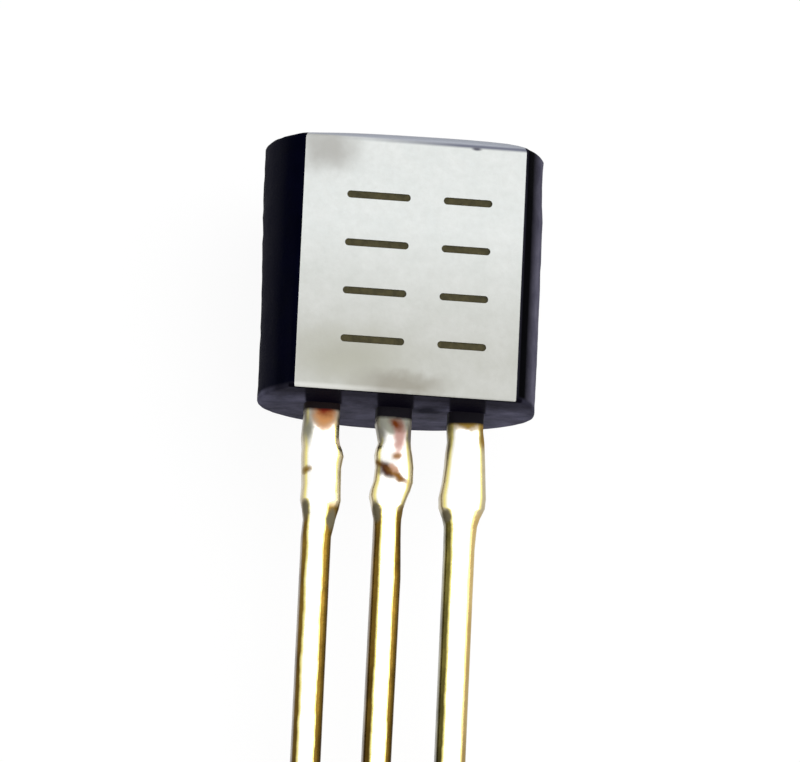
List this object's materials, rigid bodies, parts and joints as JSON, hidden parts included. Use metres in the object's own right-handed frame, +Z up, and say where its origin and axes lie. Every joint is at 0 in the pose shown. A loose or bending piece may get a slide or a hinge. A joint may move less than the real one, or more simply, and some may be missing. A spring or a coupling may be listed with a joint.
{
  "type": "to-92 transistor",
  "caption": "Small-signal transistor in a moulded D-shaped through-hole package, with straight tinned leads in one row, lying flat side up.",
  "frame": {"origin": "centre of the bounding box on the surface that the part lies on", "axes": "+X along the row of leads from the left lead to the right one as seen from the flat side; +Y from the lead tips to the body; +Z up. The part lies flat side up, tilted by 8.79 degrees about X, on its back's lower rim and its lead tips."},
  "size_m": [0.0048, 0.019, 0.0044],
  "materials": {
    "mould_compound": "satin",
    "tinned_lead": "satin",
    "silver_epoxy": "matte",
    "silicon": "polished",
    "gold_wire": "polished"
  },
  "bodies": {
    "root": {"body": "mould_compound", "lead_left": "tinned_lead", "lead_centre": "tinned_lead", "lead_right": "tinned_lead", "die_attach": "silver_epoxy", "die": "silicon", "wire_left": "gold_wire", "wire_right": "gold_wire"}
  },
  "joints": []
}
